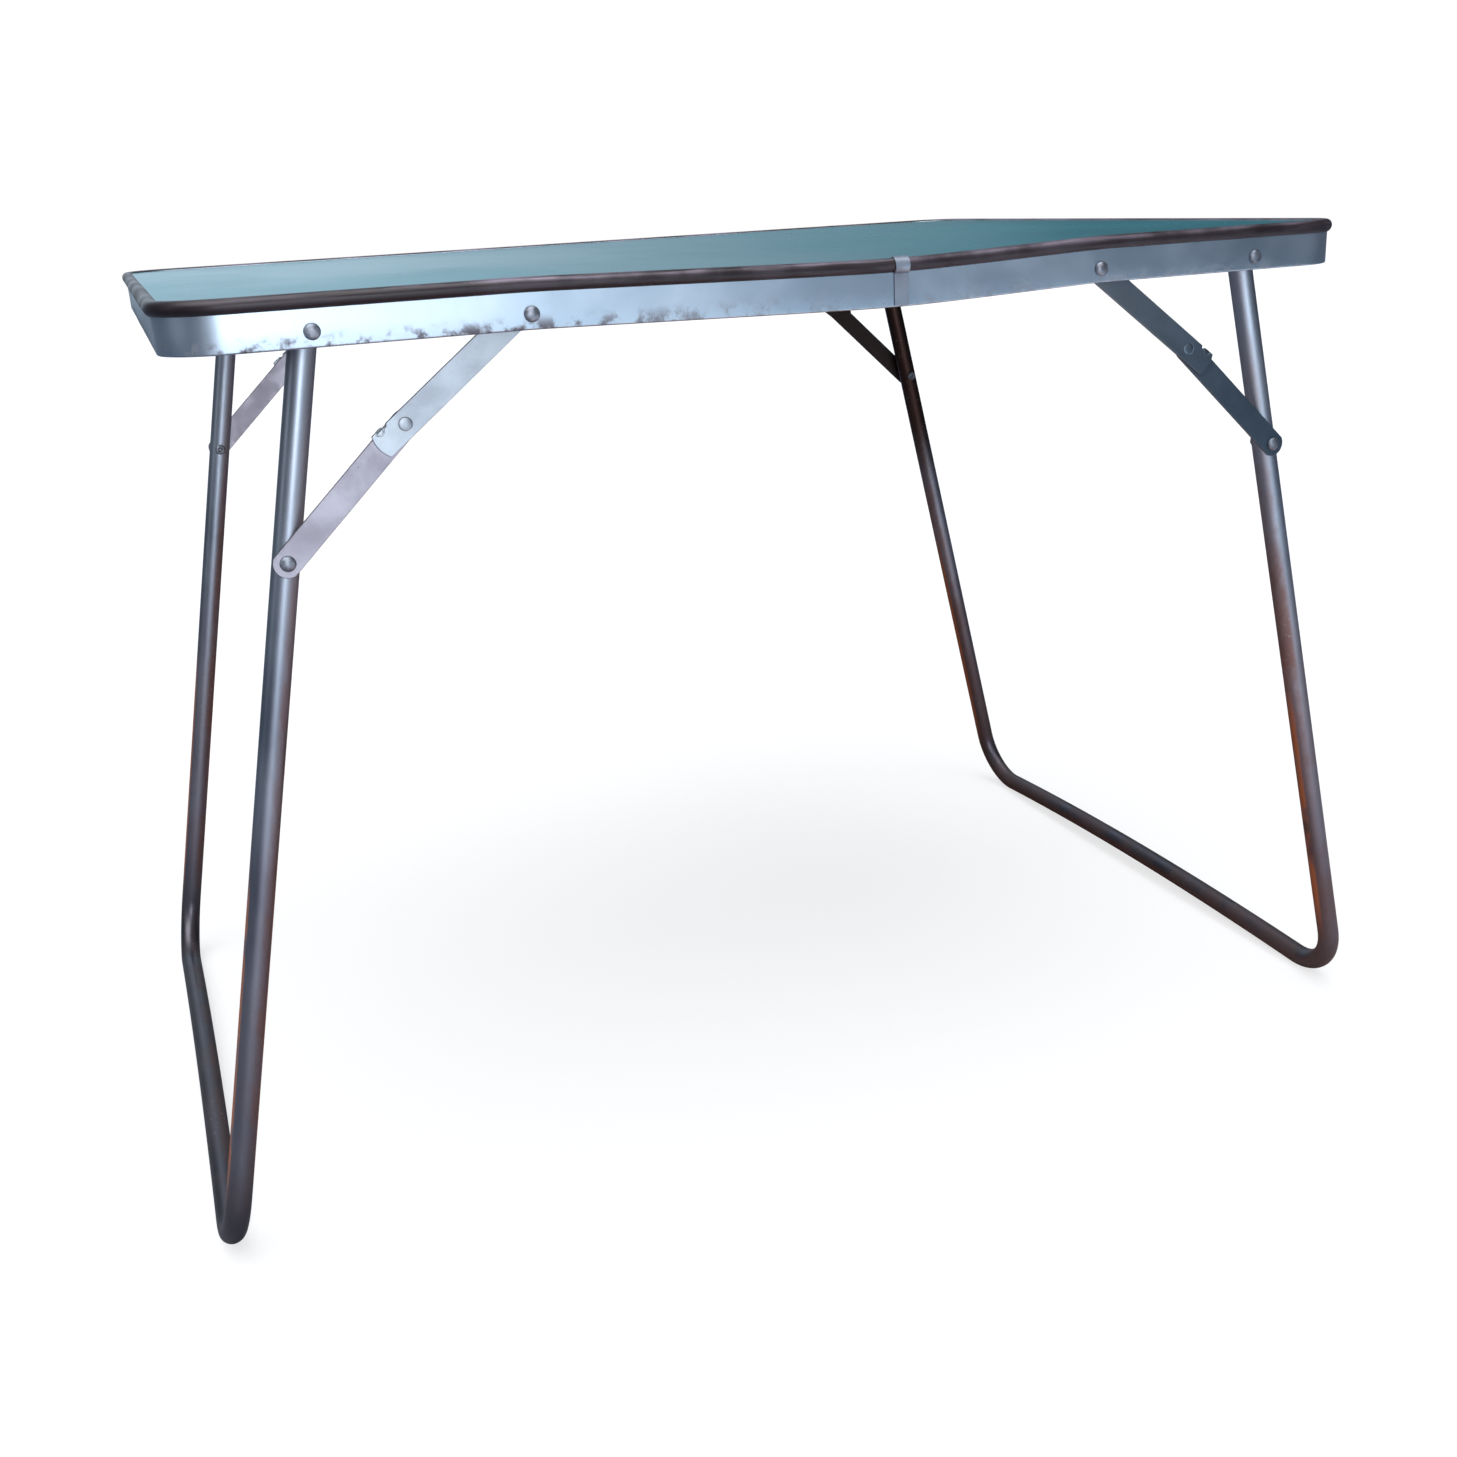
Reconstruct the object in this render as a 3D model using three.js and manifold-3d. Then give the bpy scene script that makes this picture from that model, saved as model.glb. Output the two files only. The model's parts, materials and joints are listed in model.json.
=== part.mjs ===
// Folding camping table: a framed top on two U-shaped tube legs, each leg held by two
// two-link folding stays.
//
// Millimetres, +Z up. The origin is on the floor, under the middle of the table.
// X runs along the length of the top, Y across it, and the front long side faces -Y.

import * as THREE from 'three';
import { mergeVertices } from 'three/addons/utils/BufferGeometryUtils.js';
import Module from 'manifold-3d';

const wasm = await Module();
wasm.setup();

// ---- Driving dimensions ----

// The top, measured on the flat outer face of its rim
const skirtLength = 794;
const skirtDepth = 604;
const skirtCornerRadius = 37;
const tableHeight = 618;
const rimHeight = 30;
const rimSheet = 1.2;
const gap = 0.3;                 // clearance kept between pieces that touch

// The rounded bead along the top of the rim
const beadRadius = 4.5;
const beadCentreInset = 1.5;     // bead centre, inside the skirt's outer face
const hemDepth = 2;              // inward turn along the skirt's lower edge
const ledgeReach = 15;           // ledge under the panel, from the skirt's outer face
const ledgeSheet = 1.2;
const rimSeamX = 45;             // the rim's two ends meet here on the front side
const rimSeamGap = 0.6;
const clipWidth = 10;
const clipSheet = 0.8;
const clipEdgeSetback = 1;       // clip edge, short of the skirt's lower edge and of the bead

// The panel
const panelSheet = 3;
const panelRecess = 1.5;         // panel surface below the top of the bead
const panelInset = 5;            // panel edge, inside the skirt's outer face

// The legs
const legPivotX = 315.9;
const pivotAboveRimBottom = 9;
const tubeRadius = 8.25;
const tubeWall = 1.2;
const legSplay = THREE.MathUtils.degToRad(12);
const legBendRadius = 45;
const legStub = 6;               // tube above its pivot
const floorBarArch = 7;          // rise of the middle of the floor bar
const legInset = { left: 40.05, right: 17.65 };  // tube centre, inside the skirt's outer face

// The stays
const stayPivotX = 192.3;
const stayDownLeg = 135.4;       // leg pivot to the stay's rivet in the leg
const stayWidth = 16.5;
const staySheet = 2;
const stayBendSlack = 0.25;      // the two links together are this much longer than their span
const upperTailLength = 21.5;    // upper link past the middle rivet
const upperTailRadius = 18;
const upperHeadLength = 6.6;     // upper link past its rim pivot
const upperHeadCorner = 3;       // radius of the corners there
const lowerEyeRadius = 8.75;
const stopNotchAlong = 10;       // relief notch past the middle rivet, beside the stop lug
const stopNotchRadius = 1.6;
const stopLugAlong = 14;         // middle of the stop lug, past the middle rivet
const stopLugLength = 4;
const stopLugThickness = 1;
const stopLugDrop = 1.6;         // how far the lug reaches down beside the lower link

// Rivets and spacers
const shankRadius = 2.5;
const domeRadius = 4.75;
const domeHeight = 2.6;
const tailRadius = 4.2;
const tailHeight = 2;
const tailEndRadius = 3.4;
const middleHeadRadius = 3.85;
const legSpacerRadius = 5.5;
const staySpacerRadius = 4.5;

// Facets
const tubeSides = 16;
const smallSides = 14;
const cornerSteps = 6;
const smallCornerSteps = 3;
const beadSteps = 10;
const bendSteps = 6;
const barSteps = 8;
const eyeSteps = 8;
const domeSteps = 4;
const weldTolerance = 1e-4;

// ---- Dimensions worked out from them ----

const rimBottom = tableHeight - rimHeight;
const pivotHeight = rimBottom + pivotAboveRimBottom;
const halfDepth = skirtDepth / 2;
const legLength = (pivotHeight - tubeRadius) / Math.cos(legSplay);

// The stay as a triangle in the plane of one side: rim pivot, middle rivet and leg rivet,
// with "out" towards the end of the table and the leg pivot as the origin.
const stayReach = legPivotX - stayPivotX;
const rimPoint = new THREE.Vector2(-stayReach, 0);
const legPoint = new THREE.Vector2(stayDownLeg * Math.sin(legSplay), -stayDownLeg * Math.cos(legSplay));
const staySpan = rimPoint.distanceTo(legPoint);
const linkDifference = stayDownLeg - stayReach;  // lets the links lie flat on each other when folded
const upperLength = (staySpan + stayBendSlack - linkDifference) / 2;
const lowerLength = upperLength + linkDifference;
const middlePoint = triangleApex(rimPoint, legPoint, upperLength, lowerLength);
const upperAngle = Math.atan2(middlePoint.y - rimPoint.y, middlePoint.x - rimPoint.x);
const lowerAngle = Math.atan2(legPoint.y - middlePoint.y, legPoint.x - middlePoint.x);

// The point above the line from a to b at distances ra and rb from them
function triangleApex(a, b, ra, rb) {
  const span = a.distanceTo(b);
  const along = (ra * ra - rb * rb + span * span) / (2 * span);
  const above = Math.sqrt(ra * ra - along * along);
  const direction = b.clone().sub(a).divideScalar(span);
  return new THREE.Vector2(
    a.x + direction.x * along - direction.y * above,
    a.y + direction.y * along + direction.x * above,
  );
}

// ---- Materials ----

function metal(color, roughness, metalness) {
  return new THREE.MeshStandardMaterial({ color, roughness, metalness });
}
const rimAluminium = metal(0xb9c3cf, 0.38, 0.9);
const clipAluminium = metal(0xc9d0d8, 0.45, 0.9);
const paintedPanel = metal(0x4f93a3, 0.3, 0);
const tubeSteel = metal(0x6b727d, 0.4, 0.85);
const stripSteel = metal(0x9fb0c4, 0.42, 0.85);
const rivetSteel = metal(0x7b8290, 0.4, 0.9);
const spacerSteel = metal(0x70757d, 0.5, 0.8);

// ---- Shape helpers ----

// Joins or cuts closed meshes
function toSolid(geometry) {
  const bare = geometry.clone();
  bare.deleteAttribute('normal');
  bare.deleteAttribute('uv');
  const welded = mergeVertices(bare, weldTolerance);
  return new wasm.Manifold(new wasm.Mesh({
    numProp: 3,
    vertProperties: new Float32Array(welded.attributes.position.array),
    triVerts: new Uint32Array(welded.index.array),
  }));
}

function toGeometry(solid) {
  const mesh = solid.getMesh();
  const geometry = new THREE.BufferGeometry();
  geometry.setAttribute('position', new THREE.BufferAttribute(new Float32Array(mesh.vertProperties), 3));
  geometry.setIndex(new THREE.BufferAttribute(new Uint32Array(mesh.triVerts), 1));
  const faceted = geometry.toNonIndexed();
  faceted.computeVertexNormals();
  return faceted;
}

function cutAway(geometry, cutters) {
  let solid = toSolid(geometry);
  for (const cutter of cutters) {
    solid = solid.subtract(toSolid(cutter));
  }
  return toGeometry(solid);
}

// A path through given points, with one step of the sweep for each stretch between them
class PointPath extends THREE.Curve {
  constructor(points) {
    super();
    this.points = points;
  }

  getUtoTmapping(u) {
    return u;
  }

  getPoint(t, target = new THREE.Vector3()) {
    const place = THREE.MathUtils.clamp(t, 0, 1) * (this.points.length - 1);
    const index = Math.min(Math.floor(place), this.points.length - 2);
    return target.lerpVectors(this.points[index], this.points[index + 1], place - index);
  }
}

function sweep(section, points) {
  return new THREE.ExtrudeGeometry(section, {
    steps: points.length - 1,
    extrudePath: new PointPath(points),
    bevelEnabled: false,
  });
}

// Points of an arc from one angle to another, both ends included
function arcPoints(centreX, centreY, radius, from, to, steps) {
  const points = [];
  for (let i = 0; i <= steps; i += 1) {
    const angle = from + (to - from) * i / steps;
    points.push(new THREE.Vector2(centreX + radius * Math.cos(angle), centreY + radius * Math.sin(angle)));
  }
  return points;
}

function roundHole(x, y, radius) {
  return new THREE.Path(arcPoints(x, y, radius, 0, 2 * Math.PI, smallSides).slice(0, -1).reverse());
}

function ringSection(outerRadius, innerRadius, sides, turn) {
  const outer = arcPoints(0, 0, outerRadius, turn, turn + 2 * Math.PI, sides).slice(0, -1);
  const inner = arcPoints(0, 0, innerRadius, turn, turn + 2 * Math.PI, sides).slice(0, -1);
  const section = new THREE.Shape(outer);
  section.holes.push(new THREE.Path(inner.reverse()));
  return section;
}

// A solid turned about the Y axis. Its profile is a list of [radius, y] pairs.
function turned(profile) {
  return new THREE.LatheGeometry(profile.map(([radius, y]) => new THREE.Vector2(radius, y)), smallSides);
}

function pinAlongY(radius, length, x, y, z) {
  return new THREE.CylinderGeometry(radius, radius, length, smallSides).translate(x, y, z);
}

// ---- The top: rim, joint clip and panel ----

// One point of the rim's cross-section: how far outside the skirt's outer face, and how far up
// from the rim's top. The sweep lays section x downwards and section y inwards.
function rimPointOf(out, up) {
  return new THREE.Vector2(-up, -out);
}

function rimSection() {
  const lipAngle = Math.PI * 0.75;
  const skirtAngle = -Math.acos(beadCentreInset / beadRadius);
  const bead = arcPoints(-beadCentreInset, -beadRadius, beadRadius, skirtAngle, lipAngle, beadSteps);
  const lip = bead[bead.length - 1];
  const ledgeTop = -panelRecess - panelSheet - gap;
  const ledgeBottom = ledgeTop - ledgeSheet;
  const outline = [
    [0, -rimHeight],
    ...bead.map((point) => [point.x, point.y]),
    [lip.x, ledgeTop],
    [-ledgeReach, ledgeTop],
    [-ledgeReach, ledgeBottom],
    [-rimSheet, ledgeBottom],
    [-rimSheet, -rimHeight + rimSheet],
    [-rimSheet - hemDepth, -rimHeight + rimSheet],
    [-rimSheet - hemDepth, -rimHeight],
  ];
  return new THREE.Shape(outline.map(([out, up]) => rimPointOf(out, up)));
}

// Once round the rim from the seam on the front, with the front side walked towards +X
function rimPath() {
  const halfX = skirtLength / 2 - skirtCornerRadius;
  const halfY = skirtDepth / 2 - skirtCornerRadius;
  const corners = [
    [halfX, -halfY, -Math.PI / 2],
    [halfX, halfY, 0],
    [-halfX, halfY, Math.PI / 2],
    [-halfX, -halfY, Math.PI],
  ];
  const flat = [new THREE.Vector2(rimSeamX + rimSeamGap / 2, -halfDepth)];
  for (const [x, y, start] of corners) {
    flat.push(...arcPoints(x, y, skirtCornerRadius, start, start + Math.PI / 2, cornerSteps));
  }
  flat.push(new THREE.Vector2(rimSeamX - rimSeamGap / 2, -halfDepth));
  return flat.map((point) => new THREE.Vector3(point.x, point.y, tableHeight));
}

function makeRim() {
  const holeDepth = 8;
  const holes = [];
  for (const side of [-1, 1]) {
    for (const x of [-legPivotX, -stayPivotX, stayPivotX, legPivotX]) {
      holes.push(pinAlongY(shankRadius + gap, holeDepth, x, side * halfDepth, pivotHeight));
    }
  }
  return cutAway(sweep(rimSection(), rimPath()), holes);
}

// A thin strip bent round the outside of the rim, over its seam
function makeJointClip() {
  const inner = gap;
  const outer = gap + clipSheet;
  const skirtAngle = -Math.PI * 0.36;
  const topAngle = Math.PI * 0.6;
  const innerBead = arcPoints(
    -beadCentreInset, -beadRadius, beadRadius + inner, skirtAngle, topAngle, beadSteps);
  const outerBead = arcPoints(
    -beadCentreInset, -beadRadius, beadRadius + outer, skirtAngle, topAngle, beadSteps);
  const bottom = -rimHeight + clipEdgeSetback;
  const outline = [
    new THREE.Vector2(inner, bottom),
    new THREE.Vector2(inner, innerBead[0].y - clipEdgeSetback),
    ...innerBead,
    ...outerBead.reverse(),
    new THREE.Vector2(outer, outerBead[outerBead.length - 1].y - clipEdgeSetback),
    new THREE.Vector2(outer, bottom),
  ];
  const section = new THREE.Shape(outline.map((point) => rimPointOf(point.x, point.y)));
  return sweep(section, [
    new THREE.Vector3(rimSeamX - clipWidth / 2, -halfDepth, tableHeight),
    new THREE.Vector3(rimSeamX + clipWidth / 2, -halfDepth, tableHeight),
  ]);
}

function makePanel() {
  const halfX = skirtLength / 2 - skirtCornerRadius;
  const halfY = skirtDepth / 2 - skirtCornerRadius;
  const radius = skirtCornerRadius - panelInset;
  const outline = [
    ...arcPoints(halfX, -halfY, radius, -Math.PI / 2, 0, cornerSteps),
    ...arcPoints(halfX, halfY, radius, 0, Math.PI / 2, cornerSteps),
    ...arcPoints(-halfX, halfY, radius, Math.PI / 2, Math.PI, cornerSteps),
    ...arcPoints(-halfX, -halfY, radius, Math.PI, 1.5 * Math.PI, cornerSteps),
  ];
  return new THREE.ExtrudeGeometry(new THREE.Shape(outline), { depth: panelSheet, bevelEnabled: false });
}

// ---- Legs ----

// A U of tube, with its pivot at the origin and its uprights along -Z. "end" is -1 for the
// left leg and 1 for the right one. One corner of the tube's facets points at the floor.
function makeLeg(halfWidth, end) {
  const bendCentre = halfWidth - legBendRadius;
  const points = [new THREE.Vector3(0, -halfWidth, legStub)];
  const bend = arcPoints(
    -bendCentre, -legLength + legBendRadius, legBendRadius, Math.PI, 1.5 * Math.PI, bendSteps);
  for (const point of bend) {
    points.push(new THREE.Vector3(0, point.x, point.y));
  }
  for (let i = 1; i < barSteps; i += 1) {
    const across = -1 + 2 * i / barSteps;
    const rise = floorBarArch * (1 - across * across);
    points.push(new THREE.Vector3(0, bendCentre * across, -legLength + rise));
  }
  for (const point of bend.reverse()) {
    points.push(new THREE.Vector3(0, -point.x, point.y));
  }
  points.push(new THREE.Vector3(0, halfWidth, legStub));

  const tube = sweep(ringSection(tubeRadius, tubeRadius - tubeWall, tubeSides, end * legSplay), points);
  const holeLength = 3 * tubeRadius;
  const holes = [];
  for (const side of [-1, 1]) {
    for (const z of [0, -stayDownLeg]) {
      holes.push(pinAlongY(shankRadius + gap, holeLength, 0, side * halfWidth, z));
    }
  }
  return cutAway(tube, holes);
}

// ---- Stay links ----

// Both links are drawn with their first pivot at the origin and the other one at +X, flat in
// the XY plane with "up" on the side of the leg pivot.

function upperLinkOutline() {
  const half = stayWidth / 2;
  const headX = -upperHeadLength + upperHeadCorner;
  const headY = half - upperHeadCorner;
  const tailX = upperLength + upperTailLength - upperTailRadius;
  const tailAngle = Math.asin(half / upperTailRadius);
  return [
    ...arcPoints(headX, headY, upperHeadCorner, Math.PI / 2, Math.PI, smallCornerSteps),
    ...arcPoints(headX, -headY, upperHeadCorner, Math.PI, 1.5 * Math.PI, smallCornerSteps),
    ...arcPoints(tailX, 0, upperTailRadius, -tailAngle, tailAngle, eyeSteps),
  ];
}

function lowerLinkOutline() {
  const half = stayWidth / 2;
  const shoulder = Math.acos(half / lowerEyeRadius);
  return [
    ...arcPoints(0, 0, half, Math.PI / 2, 1.5 * Math.PI, eyeSteps),
    ...arcPoints(lowerLength, 0, lowerEyeRadius, shoulder - Math.PI / 2, Math.PI / 2 - shoulder, eyeSteps),
  ];
}

function plate(outline, holes, thickness) {
  const shape = new THREE.Shape(outline);
  shape.holes.push(...holes);
  return new THREE.ExtrudeGeometry(shape, { depth: thickness, bevelEnabled: false });
}

// The upper link has a half-round notch in its upper edge, which let the stop lug next to it be
// pressed down beside the lower link. The lug hangs below the plate, towards -Z.
function makeUpperLink() {
  const half = stayWidth / 2;
  const cutLength = 3 * staySheet;
  const strip = plate(upperLinkOutline(), [
    roundHole(0, 0, shankRadius + gap),
    roundHole(upperLength, 0, middleHeadRadius + gap),
  ], staySheet);
  const notch = new THREE.CylinderGeometry(stopNotchRadius, stopNotchRadius, cutLength, smallSides)
    .rotateX(Math.PI / 2)
    .translate(upperLength + stopNotchAlong, half, staySheet / 2);
  const lugHeight = staySheet + stopLugDrop - gap;
  const lug = new THREE.BoxGeometry(stopLugLength, stopLugThickness, lugHeight)
    .translate(upperLength + stopLugAlong, half - stopLugThickness / 2, lugHeight / 2 - stopLugDrop);
  const solid = toSolid(strip).subtract(toSolid(notch)).add(toSolid(lug));
  return toGeometry(solid);
}

function makeLowerLink() {
  return plate(lowerLinkOutline(), [
    roundHole(0, 0, shankRadius + gap),
    roundHole(lowerLength, 0, shankRadius + gap),
  ], staySheet);
}

// ---- Rivets and spacers, all turned about Y with +Y towards the outside of the table ----

// A rivet with its dome outside y = 0, a shank of the given length, and a formed tail
function domedRivet(shankLength, withTail) {
  const profile = [];
  for (let i = 0; i <= domeSteps; i += 1) {
    const angle = Math.PI / 2 * i / domeSteps;
    const radius = i === 0 ? 0 : domeRadius * Math.sin(angle);
    profile.push([radius, domeHeight * Math.cos(angle)]);
  }
  profile.push([shankRadius, 0]);
  profile.push([shankRadius, -shankLength]);
  if (withTail) {
    profile.push([tailRadius, -shankLength]);
    profile.push([tailEndRadius, -shankLength - tailHeight]);
    profile.push([0, -shankLength - tailHeight]);
  } else {
    profile.push([0, -shankLength]);
  }
  return turned(profile.reverse());
}

// The flush rivet of a stay's middle joint: a flat head in the upper link, a shank in the lower
function middleRivet() {
  const length = 2 * staySheet + gap;
  return turned([
    [0, -length],
    [shankRadius, -length],
    [shankRadius, -staySheet + gap],
    [middleHeadRadius, -staySheet + gap],
    [middleHeadRadius, 0],
    [0, 0],
  ]);
}

// The part of a leg rivet that stays in the leg: its shank through the tube and its tail
function rivetTail(shankLength) {
  return turned([
    [0, -shankLength - tailHeight],
    [tailEndRadius, -shankLength - tailHeight],
    [tailRadius, -shankLength],
    [shankRadius, -shankLength],
    [shankRadius, 0],
    [0, 0],
  ]);
}

function spacer(outerRadius, length) {
  return turned([
    [shankRadius + gap, -length],
    [outerRadius, -length],
    [outerRadius, 0],
    [shankRadius + gap, 0],
    [shankRadius + gap, -length],
  ]);
}

// ---- Assembly ----

const table = new THREE.Group();

function addPiece(parent, name, geometry, material, position = [0, 0, 0], turnY = 0) {
  const mesh = new THREE.Mesh(geometry, material);
  mesh.name = name;
  mesh.position.set(...position);
  mesh.rotation.y = turnY;
  parent.add(mesh);
}

addPiece(table, 'rim', makeRim(), rimAluminium);
addPiece(table, 'rim_joint_clip', makeJointClip(), clipAluminium);
addPiece(table, 'tabletop_panel', makePanel(), paintedPanel,
  [0, 0, tableHeight - panelRecess - panelSheet]);

// One stay, with the rivets and spacers of its corner of the table. "end" is -1 at the left
// end and 1 at the right, and "side" is -1 at the front and 1 at the back.
function addCorner(end, side, cornerName, inset) {
  const tubeFace = inset - tubeRadius;               // outermost line of the tube
  const lowerOutside = tubeFace - gap - staySheet;   // outer face of the lower link
  const upperOutside = lowerOutside - gap - staySheet;
  const place = (x, inside, z) => [end * x, side * (halfDepth - inside), z];

  // Everything here is turned or drawn with +Y outwards, so the front is turned half round
  const corner = new THREE.Group();
  table.add(corner);
  const add = (name, geometry, material, position) => {
    const oriented = side > 0 ? geometry : geometry.rotateZ(Math.PI);
    addPiece(corner, `${name}_${cornerName}`, oriented, material, position);
  };

  add('leg_pivot_rivet', domedRivet(gap + tubeFace + 2 * tubeRadius + gap, true), rivetSteel,
    place(legPivotX, -gap, pivotHeight));
  add('leg_pivot_spacer', spacer(legSpacerRadius, tubeFace - rimSheet - 2 * gap), spacerSteel,
    place(legPivotX, rimSheet + gap, pivotHeight));
  add('stay_pivot_rivet', domedRivet(gap + upperOutside + staySheet, false), rivetSteel,
    place(stayPivotX, -gap, pivotHeight));
  add('stay_pivot_spacer', spacer(staySpacerRadius, upperOutside - rimSheet - 2 * gap), spacerSteel,
    place(stayPivotX, rimSheet + gap, pivotHeight));

  const middleX = legPivotX + middlePoint.x;
  const middleZ = pivotHeight + middlePoint.y;
  const legX = legPivotX + legPoint.x;
  const legZ = pivotHeight + legPoint.y;
  add('stay_middle_rivet', middleRivet(), rivetSteel, place(middleX, upperOutside, middleZ));
  add('stay_leg_rivet', domedRivet(gap + staySheet, false), rivetSteel,
    place(legX, lowerOutside - gap, legZ));
  add('stay_leg_rivet_tail', rivetTail(2 * tubeRadius + gap), rivetSteel, place(legX, tubeFace, legZ));

  addLink(`stay_upper_${cornerName}`, makeUpperLink(), upperAngle, end, side,
    place(stayPivotX, upperOutside + staySheet / 2, pivotHeight));
  addLink(`stay_lower_${cornerName}`, makeLowerLink(), lowerAngle, end, side,
    place(middleX, lowerOutside + staySheet / 2, middleZ));
}

// Stands a link up in the XZ plane, mirrored for the end and side of the table it is on
function addLink(name, geometry, angle, end, side, position) {
  const centred = geometry.translate(0, 0, -staySheet / 2);
  const direction = new THREE.Vector3(end * Math.cos(angle), 0, Math.sin(angle));
  const upward = new THREE.Vector3(-end * Math.sin(angle), 0, Math.cos(angle));
  const outward = new THREE.Vector3(0, side, 0);
  const basis = new THREE.Matrix4().makeBasis(direction, upward, outward);
  const mirrored = basis.determinant() < 0;
  centred.applyMatrix4(basis);
  addPiece(table, name, mirrored ? turnedInsideOut(centred) : centred, stripSteel, position);
}

// A mirrored mesh has its faces the wrong way round, so each triangle is walked backwards
function turnedInsideOut(geometry) {
  const flat = geometry.index ? geometry.toNonIndexed() : geometry;
  const positions = flat.attributes.position;
  const first = new THREE.Vector3();
  const second = new THREE.Vector3();
  for (let i = 0; i < positions.count; i += 3) {
    first.fromBufferAttribute(positions, i);
    second.fromBufferAttribute(positions, i + 1);
    positions.setXYZ(i, second.x, second.y, second.z);
    positions.setXYZ(i + 1, first.x, first.y, first.z);
  }
  flat.computeVertexNormals();
  return flat;
}

for (const [endName, end] of [['left', -1], ['right', 1]]) {
  const inset = legInset[endName];
  addPiece(table, `leg_${endName}`, makeLeg(halfDepth - inset, end), tubeSteel,
    [end * legPivotX, 0, pivotHeight], -end * legSplay);
  for (const [sideName, side] of [['front', -1], ['back', 1]]) {
    addCorner(end, side, `${endName}_${sideName}`, inset);
  }
}

export default table;
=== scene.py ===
import json
import math

import bmesh
import bpy
from mathutils import Matrix, Vector, noise


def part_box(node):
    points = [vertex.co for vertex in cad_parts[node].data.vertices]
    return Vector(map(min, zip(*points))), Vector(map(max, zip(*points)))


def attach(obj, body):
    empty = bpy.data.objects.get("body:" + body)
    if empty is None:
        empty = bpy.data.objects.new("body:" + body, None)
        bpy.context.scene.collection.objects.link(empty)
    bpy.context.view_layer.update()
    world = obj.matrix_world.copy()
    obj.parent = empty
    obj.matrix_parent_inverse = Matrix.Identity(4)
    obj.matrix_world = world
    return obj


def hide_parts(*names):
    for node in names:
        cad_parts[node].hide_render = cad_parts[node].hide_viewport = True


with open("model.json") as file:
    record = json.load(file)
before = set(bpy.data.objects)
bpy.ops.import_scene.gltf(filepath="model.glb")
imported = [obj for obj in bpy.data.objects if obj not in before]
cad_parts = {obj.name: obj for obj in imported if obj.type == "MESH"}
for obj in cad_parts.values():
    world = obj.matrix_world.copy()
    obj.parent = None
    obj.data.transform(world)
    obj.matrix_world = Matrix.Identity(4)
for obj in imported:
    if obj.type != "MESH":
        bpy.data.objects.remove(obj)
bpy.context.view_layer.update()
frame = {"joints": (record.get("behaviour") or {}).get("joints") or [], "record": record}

# A vintage folding camping table: an aluminium-rimmed top on two tube legs with folding stays.
# Metres, in the frame of the CAD model: the front long side faces -Y and the floor is z = 0.

record = frame["record"]
body_of = {node: body for body, nodes in record["behaviour"]["bodies"].items() for node in nodes}
joint_at = {joint["child"]: Vector(joint["pos_m"]) for joint in frame["joints"]}

ENDS = (("left", -1), ("right", 1))
SIDES = (("front", -1), ("back", 1))

# ---- Sizes ----

# The rim's rolled section
BEAD_RADIUS = 0.0045
BEAD_INSET = 0.0015          # bead centre, inside the skirt's outer face
SHEET = 0.0012
HEM = 0.002
LEDGE_REACH = 0.015
CORNER_RADIUS = 0.037
CORNER_STEPS = 14
STATION_SPACING = 0.015      # of the sections that the rim is built from
SEAM_GAP = 0.0006
GAP = 0.0003

# The joint clip over the seam
CLIP_SHEET = 0.0008
CLIP_EDGE_SETBACK = 0.001
CLIP_ROUNDING = 0.0002

# The board
PANEL_ROUNDING = 0.0004
PANEL_GRID = 0.02            # spacing of the cuts that let it follow the rim's sag

# The old rim has sunk at its joint on the front side, and its skirt is a little wavy
JOINT_SAG = 0.0056           # before its bottom is rounded
SAG_ROUNDING = 0.35          # takes half of this share off the sag at the joint
RIM_WAVE = 0.00025
STRAIGHT_TOP = 0.012         # the part of the rim's height that isn't wavy

# Tubes
TUBE_RADIUS = 0.00825
TUBE_WALL = 0.0012
LEG_SPLAY = math.radians(12)
LEG_BEND_RADIUS = 0.045
LEG_STUB = 0.006
FLOOR_BAR_ARCH = 0.007

# Stay links
STAY_WIDTH = 0.0165
STAY_SHEET = 0.002
STAY_EDGE = 0.00035          # rounding of the stamped edges
UPPER_TAIL = 0.0215
UPPER_TAIL_RADIUS = 0.018
UPPER_HEAD = 0.0066
UPPER_HEAD_CORNER = 0.003
LOWER_EYE_RADIUS = 0.00875
NOTCH_ALONG = 0.010
NOTCH_RADIUS = 0.0016
LUG_ALONG = 0.014
LUG_LENGTH = 0.004
LUG_SHEET = 0.001
LUG_DROP = 0.0016
LUG_SETBACK = 0.0001         # from the link's edge
LUG_ROUNDING = 0.0006        # how much less it hangs down at its ends
CREASE_REACH = 0.0026        # crescent-shaped crease pressed round the lug
CREASE_RADIUS = 0.0007
CREASE_DEPTH = 0.0001        # of the crease's centre line below the link's face

# Rivets
SHANK_RADIUS = 0.0025
DOME_RADIUS = 0.00475
DOME_HEIGHT = 0.0026
DOME_EDGE = 0.0003           # thickness of the head at its edge
TAIL_RADIUS = 0.0042
TAIL_HEIGHT = 0.002
TAIL_DIMPLE = 0.0012         # radius of the dimple that the tail is rolled round
CUT_EDGE = 0.0003            # broken edge of shanks and spacers
FLUSH_HEAD_RADIUS = 0.00385
FLUSH_GAP = 0.00005          # round the flush head, which fills its hole

# Stage and camera
FLOOR_GLOW = 0.72            # keeps the floor pale under the table, to the camera only
SKY_LIGHT = 2.9
CAMERA_PLACE = (-0.4212, -1.2298, 0.6612)
CAMERA_YAW = math.radians(21.44)
CAMERA_PITCH = math.radians(17.98)
CAMERA_ROLL = math.radians(-3.07)
CAMERA_LENS = 39.54
CAMERA_SHIFT = (-0.030, -0.017)

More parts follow.
